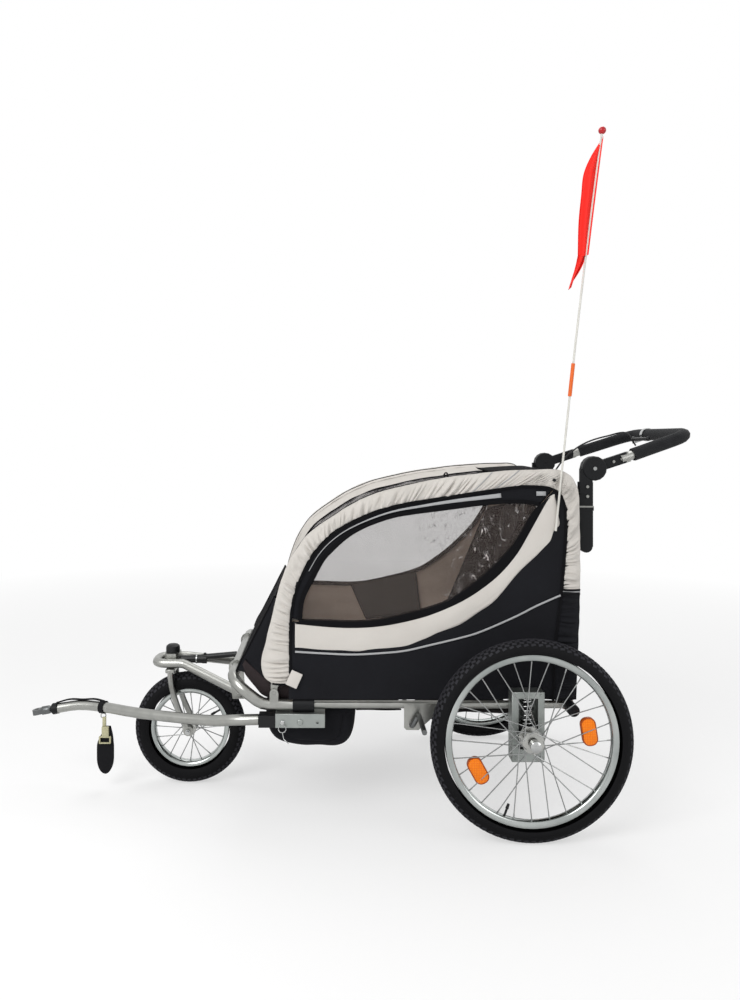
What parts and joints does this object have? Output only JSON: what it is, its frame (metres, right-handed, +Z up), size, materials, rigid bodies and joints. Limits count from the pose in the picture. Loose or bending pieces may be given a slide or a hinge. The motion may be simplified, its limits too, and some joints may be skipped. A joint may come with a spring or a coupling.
{
  "type": "child bike trailer",
  "caption": "Enclosed child bike trailer on sprung 20 inch wheels, with a swivelling front wheel, push handle with brake lever, folding cloth cabin, side tow bar and safety flag.",
  "frame": {"origin": "on the ground under the middle of the overall length and width", "axes": "+X rearward, along the length; +Z up; -Y is the trailer's left side, where the tow bar and flag are"},
  "size_m": [1.8292, 0.842, 1.785],
  "materials": {
    "satin_tube": "satin silver",
    "grey_steel": "matt grey",
    "chrome": "polished",
    "black_plastic": "matt",
    "black_paint": "satin",
    "black_foam": "matt foam",
    "tyre_rubber": "matt",
    "pale_cloth": "woven",
    "black_cloth": "woven",
    "clear_film": "clear film",
    "flag_cloth": "thin nylon",
    "white_rod": "glass-fibre rod"
  },
  "bodies": {
    "frame": {"left_rail": "satin_tube", "right_rail": "satin_tube", "front_bumper": "satin_tube", "axle_crossbar": "satin_tube", "rear_crossbar": "satin_tube", "left_suspension_housing": "grey_steel", "right_suspension_housing": "grey_steel", "left_damper": "black_plastic", "right_damper": "black_plastic", "swivel_head": "grey_steel", "front_arm": "satin_tube", "front_stay": "black_paint", "tow_bracket": "grey_steel", "front_apron": "black_cloth", "footwell": "black_cloth", "seat_base": "black_cloth", "left_coil_spring": "chrome", "right_coil_spring": "chrome"},
    "left_carrier": {"left_axle_carrier": "black_plastic"},
    "right_carrier": {"right_axle_carrier": "black_plastic"},
    "left_wheel": {"left_tyre": "tyre_rubber", "left_rim": "chrome", "left_spoked_hub": "chrome"},
    "right_wheel": {"right_tyre": "tyre_rubber", "right_rim": "chrome", "right_spoked_hub": "chrome"},
    "left_button": {"left_axle_button": "chrome"},
    "right_button": {"right_axle_button": "chrome"},
    "front_caster": {"front_fork": "grey_steel", "swivel_cap": "black_plastic", "front_axle": "chrome"},
    "front_wheel": {"front_tyre": "tyre_rubber", "front_rim": "chrome", "front_spoked_hub": "chrome"},
    "left_arch_side": {"left_arch": "satin_tube"},
    "right_arch_side": {"right_arch": "satin_tube"},
    "cabin": {"rear_upright": "satin_tube", "left_handle_hinge": "black_plastic", "right_handle_hinge": "black_plastic", "brake_cable": "black_plastic", "flag_pole": "white_rod", "flag_pennant": "flag_cloth", "canopy": "pale_cloth", "rear_panel": "black_cloth", "seat_back": "black_cloth", "harness": "black_cloth", "left_side_panel": "pale_cloth", "right_side_panel": "pale_cloth", "left_window": "clear_film", "right_window": "clear_film"},
    "handle": {"handle_bar": "satin_tube", "handle_grip": "black_foam", "brake_lever_clamp": "chrome"},
    "lever": {"brake_lever": "black_plastic"},
    "parking_brake": {"brake_bar": "black_paint"},
    "tow_arm": {"tow_bar_end": "black_plastic", "tow_bar": "satin_tube"},
    "coupler": {"hitch_coupler": "chrome"},
    "strap": {"safety_strap": "black_cloth"},
    "lock_pin": {"tow_lock_pin": "chrome"}
  },
  "joints": [
    {"name": "left_suspension", "type": "slide", "parent": "frame", "child": "left_carrier", "axis": [0, 0, 1], "range_m": [0, 0.025], "stiffness_N_per_m": 8000, "springref_m": -0.02, "deforming": ["left_coil_spring"]},
    {"name": "left_wheel_spin", "type": "hinge", "parent": "left_carrier", "child": "left_wheel", "pos_m": [0.438, -0.355, 0.25], "axis": [0, 1, 0], "continuous": true},
    {"name": "left_axle_button_push", "type": "slide", "parent": "left_carrier", "child": "left_button", "axis": [0, 1, 0], "range_m": [0, 0.003], "stiffness_N_per_m": 600, "springref_m": -0.004},
    {"name": "right_suspension", "type": "slide", "parent": "frame", "child": "right_carrier", "axis": [0, 0, 1], "range_m": [0, 0.025], "stiffness_N_per_m": 8000, "springref_m": -0.02, "deforming": ["right_coil_spring"]},
    {"name": "right_wheel_spin", "type": "hinge", "parent": "right_carrier", "child": "right_wheel", "pos_m": [0.438, 0.355, 0.25], "axis": [0, 1, 0], "continuous": true},
    {"name": "right_axle_button_push", "type": "slide", "parent": "right_carrier", "child": "right_button", "axis": [0, -1, 0], "range_m": [0, 0.003], "stiffness_N_per_m": 600, "springref_m": -0.004},
    {"name": "front_swivel", "type": "hinge", "parent": "frame", "child": "front_caster", "pos_m": [-0.513, 0, 0.3365], "axis": [0, 0, 1], "range_deg": [-35, 35]},
    {"name": "front_wheel_spin", "type": "hinge", "parent": "front_caster", "child": "front_wheel", "pos_m": [-0.462, 0, 0.159], "axis": [0, 1, 0], "continuous": true},
    {"name": "cabin_fold", "type": "hinge", "parent": "frame", "child": "cabin", "pos_m": [0.552, 0, 0.311], "axis": [0, 1, 0], "range_deg": [-88, 0], "deforming": ["left_side_panel", "right_side_panel", "left_window", "right_window", "canopy", "seat_back", "harness", "brake_cable", "front_apron"]},
    {"name": "left_arch_fold", "type": "hinge", "parent": "frame", "child": "left_arch_side", "pos_m": [-0.201, -0.27, 0.343], "axis": [0, 1, 0], "range_deg": [0, 36.08]},
    {"name": "right_arch_fold", "type": "hinge", "parent": "frame", "child": "right_arch_side", "pos_m": [-0.201, 0.27, 0.343], "axis": [0, 1, 0], "range_deg": [0, 36.08]},
    {"name": "handle_tilt", "type": "hinge", "parent": "cabin", "child": "handle", "pos_m": [0.627, 0, 0.915], "axis": [0, 1, 0], "range_deg": [-45, 40], "deforming": ["brake_cable"]},
    {"name": "brake_lever_pull", "type": "hinge", "parent": "handle", "child": "lever", "pos_m": [0.85516, 0.085, 0.99072], "axis": [-0.3162, 0, 0.9487], "range_deg": [0, 6]},
    {"name": "brake_apply", "type": "hinge", "parent": "frame", "child": "parking_brake", "pos_m": [0.15, 0, 0.262], "axis": [0, 1, 0], "range_deg": [0, 35]},
    {"name": "tow_bar_swing", "type": "hinge", "parent": "frame", "child": "tow_arm", "pos_m": [-0.134, -0.27, 0.272], "axis": [0, -1, 0], "range_deg": [0, 165], "deforming": ["safety_strap"]},
    {"name": "coupler_flex", "type": "hinge", "parent": "tow_arm", "child": "coupler", "pos_m": [-0.86793, -0.01859, 0.21261], "axis": [0, 0, 1], "range_deg": [-30, 30]},
    {"name": "strap_swing", "type": "hinge", "parent": "tow_arm", "child": "strap", "pos_m": [-0.7, -0.05368, 0.23191], "axis": [0, 1, 0], "range_deg": [-15, 15]},
    {"name": "lock_pin_pull", "type": "slide", "parent": "frame", "child": "lock_pin", "axis": [0, -1, 0], "range_m": [0, 0.03]}
  ],
  "couplings": [
    {"joint": "left_arch_fold", "follows": "cabin_fold", "ratio": -0.41},
    {"joint": "right_arch_fold", "follows": "cabin_fold", "ratio": -0.41},
    {"joint": "brake_lever_pull", "follows": "brake_apply", "ratio": 0.1714}
  ]
}
